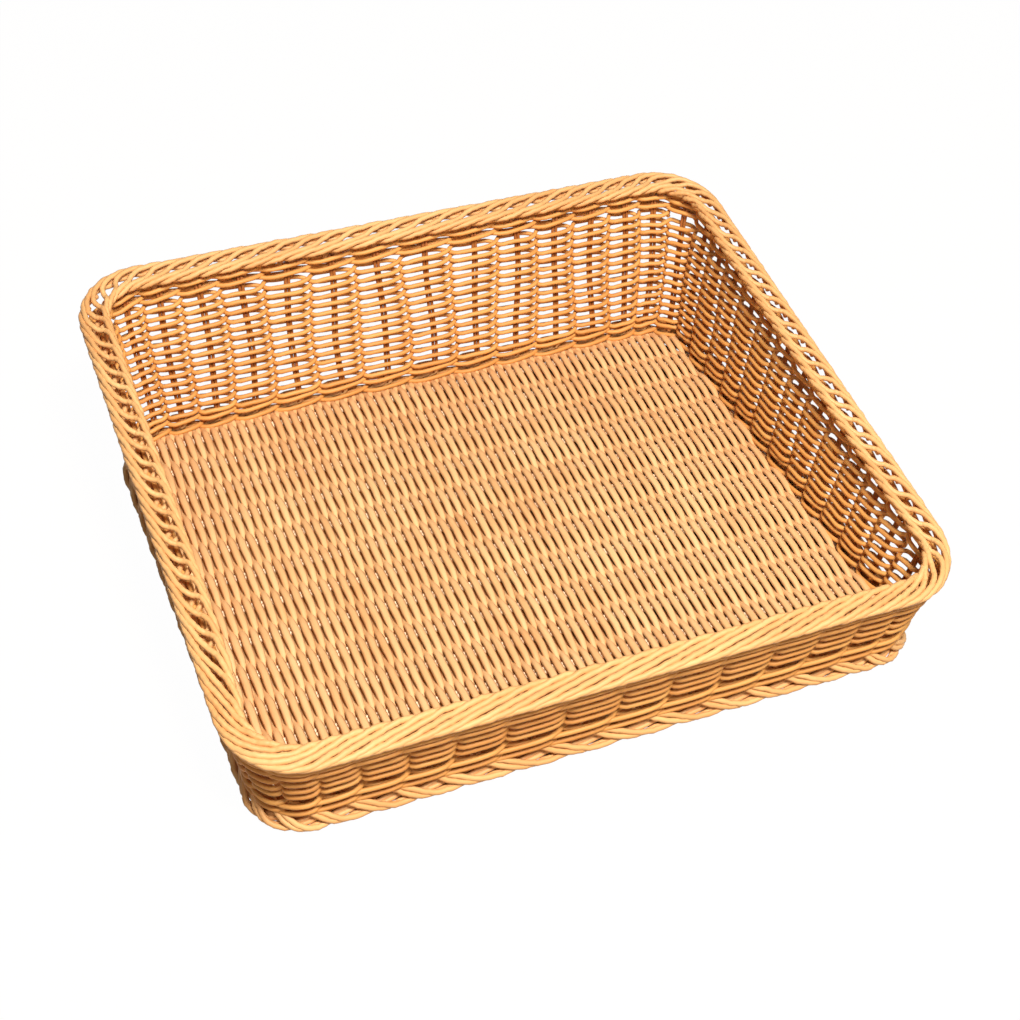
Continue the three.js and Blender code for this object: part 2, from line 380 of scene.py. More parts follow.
def plan_point(sizes, half_x, half_y, radius, spans):
    """Points and outward directions round a rounded rectangle, by the number of spans walked.

    Each side has its own count of spans. Those of the long sides narrow towards the corners by the
    crowding times the cosine of the way gone, and end a lead before the rounded corner. The corner's
    spans share the lead and the quarter circle evenly. A quarter circle point is its centre plus the
    radius times (sine, cosine) of the angle turned.
    """
    counts = np.array(SIDE_SPANS)
    starts = np.cumsum(counts + CORNER_SPANS) - counts - CORNER_SPANS
    rest = np.mod(spans, STAKES)
    side = np.searchsorted(starts, rest, side="right") - 1
    rest = rest - starts[side]
    long_side = side % 2 == 0
    lead = np.where(long_side, sizes.corner_lead, 0)
    straight = np.where(long_side, half_x, half_y) - radius - lead
    width = np.where(long_side, half_y, half_x)
    quarter = radius * math.pi / 2
    walked = np.maximum(rest - counts[side], 0) / CORNER_SPANS * (quarter + sizes.corner_lead)
    turned = np.clip((walked - lead) / radius, 0, math.pi / 2)
    gone = 2 * np.minimum(rest / counts[side], 1) - 1
    crowded = gone + sizes.crowding * np.sin(math.pi * gone) / math.pi
    along = straight * np.where(long_side, crowded, gone)
    along = along + np.minimum(walked, lead) + radius * np.sin(turned)
    across = width - radius + radius * np.cos(turned) - np.maximum(walked - lead - quarter, 0)
    turn = side * math.pi / 2
    x = along * np.cos(turn) + across * np.sin(turn)
    y = along * np.sin(turn) - across * np.cos(turn)
    facing = turn - math.pi / 2 + turned
    return np.stack([x, y], -1), np.stack([np.cos(facing), np.sin(facing)], -1)


def rim_line(sizes, spans):
    half_x = sizes.width / 2 - sizes.rim_overhang
    half_y = sizes.depth / 2 - sizes.rim_overhang
    return plan_point(sizes, half_x, half_y, sizes.rim_corner, spans)


def foot_line(sizes, spans):
    half_x, half_y = sizes.foot_width / 2, sizes.foot_depth / 2
    line, facing = plan_point(sizes, half_x, half_y, sizes.foot_corner, spans)
    return line - np.array([0, sizes.foot_shift]), facing


def rim_top(sizes, y):
    """Height of the rim's plane: a straight slope from the front height to the back height."""
    share = y / sizes.depth + 0.5
    return sizes.front_height + (sizes.back_height - sizes.front_height) * share


def ramp(value, start, length):
    """A share that grows evenly from 0 at the start to 1 a length further on."""
    return np.clip((value - start) / length, 0, 1)


def slow_waves(waves, spans, height):
    """Waves round the basket, summed: sines of the way round times turns, plus change and phase."""
    way = 2 * math.pi * spans / STAKES
    return sum(np.sin(turns * way + change * height + phase) for turns, change, phase in waves)


def sway(spans, height):
    """How far stakes that aren't quite upright lie along the wall from where they should, in spans."""
    return SWAY * slow_waves(SWAY_WAVES, spans, height)


def settling(spans, height):
    """How far rows that aren't quite level lie too high, which grows evenly from the ground up."""
    return SETTLING * slow_waves(SETTLING_WAVES, spans, height) * ramp(height, 0, SETTLING_HEIGHT)


def raised(flat, height, facing):
    """Points of the plan put at their heights, and their outward directions, which are level."""
    outward = np.concatenate([facing, np.zeros_like(facing[..., :1])], -1)
    return np.concatenate([flat, height[..., None]], -1), outward


def wall_point(sizes, spans, height, out):
    """Points of the leaning wall: the foot line and rim line mixed by height, moved outwards.

    The rim line's share is the height above the foot over that of the stakes' tops. Below the top
    of the foot the wall stands on the foot line.
    """
    high, _ = rim_line(sizes, spans)
    seat = rim_top(sizes, high[..., 1]) - sizes.seat_drop
    height = np.broadcast_to(height, seat.shape)
    moved = spans + sway(spans, height)
    high, facing = rim_line(sizes, moved)
    low, _ = foot_line(sizes, moved)
    share = np.maximum(height - sizes.foot_top, 0) / (seat - sizes.foot_top)
    flat = low + (high - low) * share[..., None] + facing * np.asarray(out)[..., None]
    return raised(flat, height, facing)


def rim_point(sizes, spans, out, up):
    """Points round the rim: the rim line moved outwards, on the sloping plane, moved up."""
    line, facing = rim_line(sizes, spans)
    flat = line + facing * out[..., None]
    return raised(flat, rim_top(sizes, flat[..., 1]) + up, facing)


# Canes


def drift(rng, shape, size):
    """Slow unevenness along each cane: half the size times three sines of random length and phase."""
    count, steps = shape
    along = np.linspace(0, 2 * math.pi, steps, endpoint=False)
    total = np.zeros(shape)
    for waves in (5, 11, 23):
        turns = rng.integers(waves - 2, waves + 3, (count, 1))
        total += np.sin(along * turns + rng.uniform(0, 2 * math.pi, (count, 1)))
    return total * size / 2


def sweep(points, facing, half_wide, half_tall, sides, closed):
    """Rings of points round each path, and the faces that join them.

    The tangent is the difference of a point's neighbours. The first axis of a ring is the facing
    direction less its share along the tangent, the second is tangent cross first, and a ring point
    is centre plus half width times cosine times first plus half height times sine times second.
    """
    count, steps, _ = points.shape
    if closed:
        tangent = np.roll(points, -1, 1) - np.roll(points, 1, 1)
    else:
        tangent = np.gradient(points, axis=1)
    tangent /= np.linalg.norm(tangent, axis=-1, keepdims=True)
    first = facing - tangent * (facing * tangent).sum(-1, keepdims=True)
    first /= np.linalg.norm(first, axis=-1, keepdims=True)
    second = np.cross(tangent, first)
    angle = 2 * math.pi * np.arange(sides) / sides
    wide = np.broadcast_to(half_wide, (count, steps))[..., None, None] * np.cos(angle)[:, None]
    tall = np.broadcast_to(half_tall, (count, steps))[..., None, None] * np.sin(angle)[:, None]
    rings = points[:, :, None] + wide * first[:, :, None] + tall * second[:, :, None]

    number = np.arange(count * steps * sides).reshape(count, steps, sides)
    turned = np.roll(number, -1, 2)
    lengths = np.linalg.norm(np.diff(points, axis=1), axis=-1)
    gone = np.concatenate([np.zeros((count, 1)), np.cumsum(lengths, 1)], 1)
    if closed:
        back = np.linalg.norm(points[:, 0] - points[:, -1], axis=-1, keepdims=True)
        ahead, ahead_turned = np.roll(number, -1, 1), np.roll(turned, -1, 1)
        gone = np.concatenate([gone, gone[:, -1:] + back], 1)
    else:
        ahead, ahead_turned = number[:, 1:], turned[:, 1:]
        number, turned = number[:, :-1], turned[:, :-1]
    quads = np.stack([number, turned, ahead_turned, ahead], -1).reshape(-1, 4)

    spans = gone.shape[1] - 1
    u0 = np.broadcast_to(gone[:, :-1, None], (count, spans, sides))
    u1 = np.broadcast_to(gone[:, 1:, None], (count, spans, sides))
    v0 = np.broadcast_to(np.arange(sides) / sides, (count, spans, sides))
    v1 = v0 + 1 / sides
    place = np.stack([u0, v0, u0, v1, u1, v1, u1, v0], -1).reshape(-1, 4, 2)
    caps = None
    if not closed:
        ring = np.arange(count * steps * sides).reshape(count, steps, sides)
        caps = np.concatenate([ring[:, 0, ::-1], ring[:, -1]])
    return rings.reshape(-1, 3), quads, place, caps


def weave_mesh(name, runs, rng):
    """One mesh from several sweeps, with the cane's length and turn as UV and a tone for each cane.

    Each run is (points, facing, half width, half height, sides, closed).
    """
    verts, corners, sizes, places, tones = [], [], [], [], []
    offset = 0
    for points, facing, half_wide, half_tall, sides, closed in runs:
        count = len(points)
        rings, quads, place, caps = sweep(points, facing, half_wide, half_tall, sides, closed)
        tone = rng.uniform(0, 1, count)
        verts.append(rings)
        corners.append((quads + offset).ravel())
        sizes.append(np.full(len(quads), 4))
        places.append(place.reshape(-1, 2))
        tones.append(np.repeat(tone, len(rings) // count))
        if caps is not None:
            corners.append((caps + offset).ravel())
            sizes.append(np.full(len(caps), sides))
            places.append(np.zeros((caps.size, 2)))
        offset += len(rings)
    verts, corners, sizes = np.concatenate(verts), np.concatenate(corners), np.concatenate(sizes)
    mesh = bpy.data.meshes.new(name)
    mesh.vertices.add(len(verts))
    mesh.vertices.foreach_set("co", verts.astype(np.float32).ravel())
    mesh.loops.add(len(corners))
    mesh.loops.foreach_set("vertex_index", corners.astype(np.int32))
    mesh.polygons.add(len(sizes))
    mesh.polygons.foreach_set("loop_start", (np.cumsum(sizes) - sizes).astype(np.int32))
    mesh.polygons.foreach_set("use_smooth", np.ones(len(sizes), bool))
    mesh.update(calc_edges=True)
    layer = mesh.uv_layers.new(name="cane")
    layer.uv.foreach_set("vector", np.concatenate(places).astype(np.float32).ravel())
    tone = mesh.attributes.new("tone", "FLOAT", "POINT")
    tone.data.foreach_set("value", np.concatenate(tones).astype(np.float32))
    mesh.validate()
    return mesh


def add_piece(name, runs, rng, material, nodes):
    """A woven piece that rides on the basket and stands for its plain solids."""
    mesh = weave_mesh(name, runs, rng)
    mesh.materials.append(material)
    piece = bpy.data.objects.new(name, mesh)
    bpy.context.scene.collection.objects.link(piece)
    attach(piece, "root")
    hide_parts(*nodes)


def softened(wave, softness):
    """A wave with flatter crests, which leaves 1 and -1 where they are.

    It is the wave over the root of its square plus the softness squared, times that root at 1.
    """
    return wave * math.sqrt(1 + softness**2) / np.sqrt(wave**2 + softness**2)


def stake_canes():
    """Two columns for the upright canes: the stake of each, and -1 or 1 for its side of the stake."""
    return np.repeat(np.arange(STAKES), 2)[:, None], np.tile([-1, 1], STAKES)[:, None]


def round_run(canes, points, facing, thickness, closed=False):
    """A run of round canes for the mesh: half the thickness each way about the paths."""
    return points, facing, thickness / 2, thickness / 2, canes.sides, closed


def stake_reach(canes):
    """From the line of stakes to the middle of a row's cane: half of both canes, plus the slack."""
    return (canes.stake + canes.weave) / 2 + canes.slack


def woven_run(sizes, canes, rng, spans, out, rise, height_at, closed):
    """Canes of a row: reached in or out and raised about the row's height, each a little uneven."""
    line, _ = rim_line(sizes, spans)
    height = height_at(line[..., 1])
    height = height + settling(spans, height) + drift(rng, (1, spans.shape[1]), ROW_STRAY)
    height = height + rise + drift(rng, spans.shape, LOOSE_STRAY)
    points, outward = wall_point(sizes, spans, height, out + drift(rng, spans.shape, HELD_STRAY))
    return round_run(canes, points, outward, canes.weave, closed)


def paired(sizes, canes, rng, first, last, height_at):
    """A row of two canes twisted round each other with the stakes between them.

    Each cane is a flattened helix that makes one turn in two spans: it lies inwards by the softened
    cosine of its angle and sinks by the fifth power of its sine, and the other is half a turn
    behind. The points crowd where the canes cross.
    """
    steps_per_span, crowd, softness, sink = 10, 0.45, 0.3, 0.44
    closed = last - first >= STAKES
    steps = round((last - first) * steps_per_span) + (0 if closed else 1)
    spans = np.linspace(first, last, steps, endpoint=not closed)
    spans = spans + crowd * np.sin(2 * math.pi * spans) / (2 * math.pi)
    spans = np.broadcast_to(spans, (2, steps))
    angle = math.pi * (spans - np.arange(2)[:, None])
    out = -stake_reach(canes) * softened(np.cos(angle), softness)
    rise = -sink * canes.weave * np.sin(angle) ** 5
    return woven_run(sizes, canes, rng, spans, out, rise, height_at, closed)


def waled(sizes, canes, rng, height_at):
    """A round of three canes, each of which passes behind one stake and before the next two.

    The stakes are one more than a multiple of three, so one closed path that goes three times round
    is all three canes. Its angle makes a turn in three spans: it lies outwards by the softened
    difference of a half and the cosine, less a share of the sine. It rises by a share of the
    cosine less a share of the sine. So it sags while it is outside, and leaves higher than it came
    and over the cane that comes out next.
    """
    steps_per_span, softness, turned_in, sag, climb = 7, 0.35, 0.42, 0.34, 0.3
    spans = np.linspace(0, 3 * STAKES, 3 * STAKES * steps_per_span, endpoint=False)[None]
    angle = 2 * math.pi * spans / 3
    out = stake_reach(canes) * softened(0.5 - np.cos(angle), softness)
    out = out - turned_in * canes.weave * np.sin(angle)
    rise = canes.weave * (sag * np.cos(angle) - climb * np.sin(angle))
    return woven_run(sizes, canes, rng, spans, out, rise, height_at, True)


def track(points, steps):
    """A smooth path through given points, with a cubic between each pair.

    Its slope at a point is half the way from the point before to the point after.
    """
    known = np.array(points, float)
    known = np.concatenate([[2 * known[0] - known[1]], known, [2 * known[-1] - known[-2]]])
    at = np.linspace(0, len(points) - 1, steps)
    i = np.minimum(at.astype(int), len(points) - 2)
    t = (at - i)[:, None]
    p0, p1, p2, p3 = known[i], known[i + 1], known[i + 2], known[i + 3]
    bend = (2 * p0 - 5 * p1 + 4 * p2 - p3) * t**2 + (3 * p1 - p0 - 3 * p2 + p3) * t**3
    return p1 + 0.5 * ((p2 - p0) * t + bend)


# Materials

# Noise cells of the streaks along a metre of cane and round it, and of the patches in a metre of
# basket, and the cells between the streaks of tone 0 and tone 1
STREAKS = (45, 9, 1)
PATCHES = 9
TONE_APART = 60

# What the tone and both noises are multiplied by, and what is added to each noise
TONE_SHARE = 0.45
NOISE_SHARE = 0.9
STREAKS_ADD = -0.35
PATCHES_ADD = -0.3

# How much of the spread red, green and blue take in the deep and in the pale shade
DEEPER = (1, 1.9, 2.4)
PALER = (0.4, 1, 1.8)

# The ground's colour, a dark warm brown that deepens the real shadow below the basket and paints the
# canes' warm bounced light into it, its strength where it is seen as white and the share of that white
PAINTED_WARM_SHADE = (0.28, 0.20, 0.13, 1)
WHITE_STRENGTH = 1.05
WHITE_SHARE = 0.94


def empty_material(name):
    """A new material, its node tree and the socket that takes its surface."""
    material = bpy.data.materials.new(name)
    material.use_nodes = True
    tree = material.node_tree
    tree.nodes.clear()
    return material, tree, tree.nodes.new("ShaderNodeOutputMaterial").inputs[0]


def math_node(tree, operation, *values, clamp=False):
    """What one operation makes of numbers and of what other nodes give."""
    node = tree.nodes.new("ShaderNodeMath")
    node.operation = operation
    node.use_clamp = clamp
    for socket, value in zip(node.inputs, values):
        if isinstance(value, (int, float)):
            socket.default_value = value
        else:
            tree.links.new(value, socket)
    return node.outputs[0]


def noise_node(tree, place, scale, detail, offset=None):
    """Noise at a place, of which an offset gives another one."""
    node = tree.nodes.new("ShaderNodeTexNoise")
    if offset is not None:
        node.noise_dimensions = "4D"
        tree.links.new(offset, node.inputs["W"])
    node.inputs["Scale"].default_value = scale
    node.inputs["Detail"].default_value = detail
    tree.links.new(place, node.inputs["Vector"])
    return node.outputs["Fac"]


def seen(tree):
    """1 for what the camera, gloss and glass see, and 0 for what lights the basket."""
    path = tree.nodes.new("ShaderNodeLightPath").outputs
    either = math_node(tree, "MAXIMUM", path["Is Camera Ray"], path["Is Glossy Ray"])
    return math_node(tree, "MAXIMUM", either, path["Is Transmission Ray"])


def shade(colour, change, shares):
    """A colour whose parts are each raised by their share of the change, and are at most 1."""
    parts = [min(1, part * (1 + change * share)) for part, share in zip(colour, shares)]
    return (*parts, 1)


def cane_material(name, colour, spread):
    """Satin plastic cane, mixed from a deep and a pale shade of its colour.

    The pale share adds up the cane's own tone, fine streaks along its length and slow patches over
    the basket, each multiplied by its share. The streaks also raise the surface a little.
    """
    material, tree, surface = empty_material(name)
    nodes, links = tree.nodes, tree.links
    shader = nodes.new("ShaderNodeBsdfPrincipled")
    shader.inputs["Roughness"].default_value = 0.5
    shader.inputs["Specular IOR Level"].default_value = 0.25
    links.new(shader.outputs[0], surface)

    place = nodes.new("ShaderNodeUVMap")
    place.uv_map = "cane"
    stretch = nodes.new("ShaderNodeMapping")
    stretch.inputs["Scale"].default_value = STREAKS
    links.new(place.outputs[0], stretch.inputs["Vector"])
    attribute = nodes.new("ShaderNodeAttribute")
    attribute.attribute_name = "tone"
    tone = attribute.outputs["Fac"]
    apart = math_node(tree, "MULTIPLY", tone, TONE_APART)
    streaks = noise_node(tree, stretch.outputs[0], scale=1, detail=3, offset=apart)
    body = nodes.new("ShaderNodeTexCoord").outputs["Object"]
    patches = noise_node(tree, body, scale=PATCHES, detail=2)

    fine = math_node(tree, "MULTIPLY_ADD", streaks, NOISE_SHARE, STREAKS_ADD)
    slow = math_node(tree, "MULTIPLY_ADD", patches, NOISE_SHARE, PATCHES_ADD)
    own = math_node(tree, "MULTIPLY_ADD", tone, TONE_SHARE, fine)
    mixed = nodes.new("ShaderNodeMix")
    mixed.data_type = "RGBA"
    mixed.inputs["A"].default_value = shade(colour, -spread, DEEPER)
    mixed.inputs["B"].default_value = shade(colour, spread, PALER)
    links.new(math_node(tree, "ADD", own, slow, clamp=True), mixed.inputs["Factor"])
    links.new(mixed.outputs["Result"], shader.inputs["Base Color"])

    bump = nodes.new("ShaderNodeBump")
    bump.inputs["Strength"].default_value = 0.25
    bump.inputs["Distance"].default_value = 0.0003
    links.new(streaks, bump.inputs["Height"])
    links.new(bump.outputs[0], shader.inputs["Normal"])
    return material


def ground_material(sizes):
    """Ground that is nearly plain white around the basket and below it shows a dark warm brown, which
    deepens the real shadow there and paints the canes' warm bounced light into it.

    The white share is for what the camera, gloss and glass see. It falls to nothing inside the
    foot's rounded rectangle: there the length of what the place's distance from the middle has
    more than the straight sides is no more than the corner's radius and a margin.
    """
    material, tree, surface = empty_material("white_ground")
    nodes, links = tree.nodes, tree.links

    def vector_node(operation, first, second=(0, 0, 0)):
        node = nodes.new("ShaderNodeVectorMath")
        node.operation = operation
        links.new(first, node.inputs[0])
        node.inputs[1].default_value = second
        return node.outputs["Value" if operation == "LENGTH" else "Vector"]

    straight_x = sizes.foot_width / 2 - sizes.foot_corner
    straight_y = sizes.foot_depth / 2 - sizes.foot_corner
    margin = 0.003
    place = nodes.new("ShaderNodeTexCoord").outputs["Object"]
    place = vector_node("ADD", place, (0, sizes.foot_shift, 0))
    place = vector_node("ABSOLUTE", place)
    place = vector_node("SUBTRACT", place, (straight_x, straight_y, 0))
    away = vector_node("LENGTH", vector_node("MAXIMUM", place))
    around = math_node(tree, "GREATER_THAN", away, sizes.foot_corner + margin)
    white_share = math_node(tree, "MULTIPLY", seen(tree), around)
    white_share = math_node(tree, "MULTIPLY", white_share, WHITE_SHARE)

    diffuse = nodes.new("ShaderNodeBsdfDiffuse")
    # Painted shade and bounced light: a dark warm brown for the ground below the basket
    diffuse.inputs["Color"].default_value = PAINTED_WARM_SHADE
    white = nodes.new("ShaderNodeEmission")
    white.inputs["Strength"].default_value = WHITE_STRENGTH
    mixed = nodes.new("ShaderNodeMixShader")
    for socket, output in zip(mixed.inputs, (white_share, diffuse.outputs[0], white.outputs[0])):
        links.new(output, socket)
    links.new(mixed.outputs[0], surface)
    return material


# Pieces


class BASKET_OT_floor_sticks(Operator):
    """Lay the paired sticks that the floor is woven round

    Each pair is two level canes from side to side, half a cane to either side of its solid's middle.
    """

    bl_idname = "basket.floor_sticks"
    bl_label = "Floor sticks"

    def execute(self, context):
        canes = context.scene.basket_canes
        rng = np.random.default_rng(SEED)
        nodes = sorted(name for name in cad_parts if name.startswith("floor_stick"))
        spots = np.array([sum(corner.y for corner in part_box(name)) / 2 for name in nodes])
        reach = np.array([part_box(name)[1].x for name in nodes])
        height = (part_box(nodes[0])[0].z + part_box(nodes[0])[1].z) / 2
        steps = 60
        shape = (len(nodes), steps)
        x = reach[:, None] * np.linspace(-1, 1, steps)
        runs = []
        for side in (-1, 1):
            y = spots[:, None] + side * canes.stick / 2 + drift(rng, shape, STICK_STRAY)
            z = height + drift(rng, shape, HELD_STRAY)
            points = np.stack([x, y, z], -1)
            facing = np.broadcast_to(np.array([0.0, 1.0, 0.0]), points.shape)
            runs.append(round_run(canes, points, facing, canes.stick))
        # The sticks' pale colour is partly their own paler cane and partly a painted highlight
        material = cane_material("stick_cane", context.scene.basket_colours.sticks, spread=0.12)
        add_piece("woven_floor_sticks", runs, rng, material, nodes)
        return {"FINISHED"}


class BASKET_OT_floor_weavers(Operator):
    """Weave the floor from front to back, over and under the sticks

    A weaver's height is a softened cosine with half a turn from stick to stick, and its neighbour's
    is the opposite. The wave flattens and sinks towards the ends. The weaver is widest on the
    sticks: its spread is multiplied by the one and a half power of the wave's size. In the corners
    the ends follow a quarter circle: the root of its radius squared less the way past its start
    squared.
    """

    bl_idname = "basket.floor_weavers"
    bl_label = "Floor weavers"

    def execute(self, context):
        sizes, canes = context.scene.basket_sizes, context.scene.basket_canes
        rng = np.random.default_rng(SEED + 1)
        width_room, side_room, end_room, corner_room = 0.008, 0.002, 0.001, 0.006
        steepest, softness, pressed = 0.96, 0.6, 0.0004
        end_length, end_flattening, end_sink = 0.012, 0.8, 0.001
        stick_low, stick_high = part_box("floor_stick_01")
        level = (stick_low.z + stick_high.z) / 2
        first_stick = (stick_low.y + stick_high.y) / 2
        count = round((sizes.foot_width - width_room) / sizes.weaver_pitch)
        steps = 110
        shape = (count, steps)
        x = (np.arange(count) - (count - 1) / 2) * sizes.weaver_pitch
        corner = sizes.foot_corner - corner_room
        past = np.abs(x) - (sizes.foot_width / 2 - side_room - corner)
        past = np.clip(past, 0, corner * steepest)
        reach = sizes.foot_depth / 2 - end_room - corner + np.sqrt(corner**2 - past**2)
        y = reach[:, None] * np.linspace(-1, 1, steps)
        turn = math.pi * ((y - first_stick) / sizes.stick_pitch + np.arange(count)[:, None])
        wave = softened(np.cos(turn), softness)
        rise = (canes.weaver + canes.stick) / 2 - pressed
        end = ramp(np.abs(y) - reach[:, None], -end_length, end_length)
        z = level + rise * wave * (1 - end_flattening * end) - end_sink * end
        z = z + drift(rng, shape, HELD_STRAY)
        sideways = x[:, None] + drift(rng, shape, LOOSE_STRAY)
        points = np.stack([sideways, y - sizes.foot_shift, z], -1)
        facing = np.broadcast_to(np.array([1.0, 0.0, 0.0]), points.shape)
        wide = (canes.weaver_width + canes.weaver_spread * np.abs(wave) ** 1.5) / 2
        runs = [(points, facing, wide, canes.weaver / 2, canes.weaver_sides, False)]
        material = cane_material("floor_cane", context.scene.basket_colours.floor, spread=0.13)
        add_piece("woven_floor", runs, rng, material, ["floor_mat"])
        return {"FINISHED"}


class BASKET_OT_stakes(Operator):
    """Stand the paired upright canes

    Each follows the leaning wall from the foot to just below the rim, half a cane to one side.
    """

    bl_idname = "basket.stakes"
    bl_label = "Stakes"

    def execute(self, context):
        sizes, canes = context.scene.basket_sizes, context.scene.basket_canes
        rng = np.random.default_rng(SEED + 2)
        steps, base_rise, top_drop = 14, 0.002, 0.019
        stake, side = stake_canes()
        line, _ = rim_line(sizes, stake)
        base = sizes.foot_top + base_rise
        top = rim_top(sizes, line[..., 1]) - top_drop
        height = base + (top - base) * np.linspace(0, 1, steps)
        spans = np.broadcast_to(stake, height.shape)
        points, outward = wall_point(sizes, spans, height, np.zeros(height.shape))
        across = np.cross(np.array([0.0, 0.0, 1.0]), outward)
        apart = side * canes.stake / 2 + drift(rng, height.shape, BORDER_STRAY)
        points = points + across * apart[..., None]
        runs = [round_run(canes, points, outward, canes.stake)]
        # The stakes' dark colour is painted shade
        material = cane_material("stake_cane", context.scene.basket_colours.stakes, spread=0.14)
        add_piece("stake_pairs", runs, rng, material, ["stakes_and_foot_border"])
        return {"FINISHED"}


class BASKET_OT_foot_border(Operator):
    """Plait the lower ends of the stakes into the foot

    Each cane follows the foot's path along the wall from its stake, and the canes of a pair part as
    they leave it.
    """

    bl_idname = "basket.foot_border"
    bl_label = "Foot border"

    def execute(self, context):
        sizes, canes = context.scene.basket_sizes, context.scene.basket_canes
        rng = np.random.default_rng(SEED + 3)
        steps, parting_way, parting, one_outside = 40, 0.5, 0.1, 0.0003
        way = track(FOOT_TRACK, steps)
        stake, side = stake_canes()
        shape = (len(stake), steps)
        leave = ramp(way[:, 0], 0, parting_way)
        spans = stake + way[:, 0] + side * (PAIR_SPREAD + parting * leave)
        out = way[:, 1] / 1000 + one_outside * side + drift(rng, shape, BORDER_STRAY)
        height = way[:, 2] / 1000 + drift(rng, shape, BORDER_STRAY)
        height = np.maximum(height, canes.border / 2)
        points, outward = wall_point(sizes, spans, height, out)
        runs = [round_run(canes, points, outward, canes.border)]
        material = cane_material("foot_cane", context.scene.basket_colours.borders, spread=0.14)
        add_piece("foot_plait", runs, rng, material, ["stakes_and_foot_border"])
        return {"FINISHED"}


class BASKET_OT_wall_rows(Operator):
    """Twine the open rows of the walls and the wales below and above them

    The lower wale and the open rows are level along the back and sides and rise towards the front.
    The upper wale follows the rim. A row goes as far round as it has room below the upper wale.
    """

    bl_idname = "basket.wall_rows"
    bl_label = "Rows and wales"

    def execute(self, context):
        sizes, canes = context.scene.basket_sizes, context.scene.basket_canes
        rng = np.random.default_rng(SEED + 4)
        wale_sink, wale_lift, wale_spread = 0.0014, 0.22, 1.1
        front_start, front_length = 0.25, 0.22
        least_room = 0.75
        middle = (wale_low.z + wale_high.z) / 2 - wale_sink

        def below_rim(drop):
            return lambda y: rim_top(sizes, y) - drop - sizes.wale_slope * y

        def lifted(lowest, lift, rise, fan):
            """A height that is level along the back and sides and greater along the front.

            The front's share of the lift and fan eases in: its square times three less twice itself.
            """

            def height_at(y):
                share = ramp(-y / sizes.depth, front_start, front_length)
                share = share**2 * (3 - 2 * share)
                return lowest + lift * share + rise * (1 + fan * share)

            return height_at

        wales = []
        for side in (-1, 1):
            apart = side * sizes.wale_pitch / 2
            lift = wale_lift * sizes.front_lift
            low = lifted(middle, lift, wale_spread * apart, sizes.row_fan)
            wales.append(waled(sizes, canes, rng, low))
            wales.append(waled(sizes, canes, rng, below_rim(sizes.wale_drop + apart)))
        line, _ = rim_line(sizes, np.arange(STAKES))
        lowest_wale = below_rim(sizes.wale_drop + sizes.wale_pitch / 2)(line[:, 1])
        rows = []
        while True:
            above = len(rows) * sizes.row_pitch
            height_at = lifted(sizes.first_row, sizes.front_lift, above, sizes.row_fan)
            room = lowest_wale - height_at(line[:, 1])
            crossed = np.flatnonzero(room > least_room * sizes.row_pitch)
            if len(crossed) < SIDE_SPANS[0]:
                break
            whole = len(crossed) == STAKES
            first, last = (0, STAKES) if whole else (crossed[0] - 0.5, crossed[-1] + 0.5)
            rows.append(paired(sizes, canes, rng, first, last, height_at))
        names = sorted(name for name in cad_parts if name.startswith("weave_row"))
        # The rows and wales take the walls' darker colour, which is painted shade
        material = cane_material("weave_cane", context.scene.basket_colours.walls, spread=0.15)
        add_piece("twined_rows", rows, rng, material, names)
        add_piece("wales", wales, rng, material, ["lower_wale", "upper_wale"])
        return {"FINISHED"}


class BASKET_OT_rim(Operator):
    """Plait the upper ends of the stakes into the rim

    The canes cross the groove between the ridges more steeply along the sides than along the back
    and front, which leaves the groove more open there: the way past the middle of the groove is
    shortened, or lengthened along the front, by a share of itself that falls off as a bell curve.
    Along the sides the groove lies further in, by a length that falls off in the same way. Along
    the front the inner ridge lies closer to the stakes, the outer ridge reaches less far down, and
    the canes are a little thicker.
    """

    bl_idname = "basket.rim"
    bl_label = "Rim"

    def execute(self, context):
        sizes, canes = context.scene.basket_sizes, context.scene.basket_canes
        rng = np.random.default_rng(SEED + 5)
        steps, parting_start, parting_way, parting, wander = 90, -0.8, 1.1, 0.203, 0.03
        front_start, front_length, back_start, back_length = 0.3, 0.15, 0.36, 0.1
        groove_middle, groove_width = 2.5, 0.9
        outer_start, outer_top, drop = 4, -2, 3.6
        way = track(RIM_TRACK, steps)
        stake, side = stake_canes()
        shape = (len(stake), steps)
        line, _ = rim_line(sizes, stake)
        front = ramp(-line[..., 1] / sizes.depth, front_start, front_length)
        back = ramp(line[..., 1] / sizes.depth, back_start, back_length)

        def by_side(along_sides, along_back, along_front):
            """A value of its own along the sides, the back and the front, mixed by their shares."""
            change = (along_back - along_sides) * back + (along_front - along_sides) * front
            return along_sides + change

        past = way[:, 0] - groove_middle
        bell = np.exp(-((past / groove_width) ** 2))
        steeper = by_side(0.6, 0.18, -0.55) * past * bell
        leave = ramp(way[:, 0], parting_start, parting_way)
        spans = stake + side * (PAIR_SPREAD + parting * leave)
        spans = spans - (way[:, 0] - RIM_TRACK[0][0] - steeper) / 2
        spans = spans + rng.uniform(-wander, wander, (len(stake), 1)) * leave
        inner = np.where(way[:, 1] < 0, by_side(1.15, 1, 0.7), 1)
        out = (way[:, 1] * inner - by_side(1.6, 0, 0) * bell) / 1000
        out = out + drift(rng, shape, BORDER_STRAY)
        low = np.where(way[:, 0] > outer_start, np.minimum(way[:, 2] - outer_top, 0), 0)
        up = (way[:, 2] - by_side(0, 0, 0.62) * low - drop) / 1000
        up = up + drift(rng, shape, BORDER_STRAY)
        points, outward = rim_point(sizes, spans, out, up)
        runs = [round_run(canes, points, outward, canes.border * by_side(1, 1, 1.07))]
        material = cane_material("rim_cane", context.scene.basket_colours.borders, spread=0.13)
        nodes = ["rim_inner_ridge", "rim_outer_ridge"]
        add_piece("rim_plait", runs, rng, material, nodes)
        return {"FINISHED"}


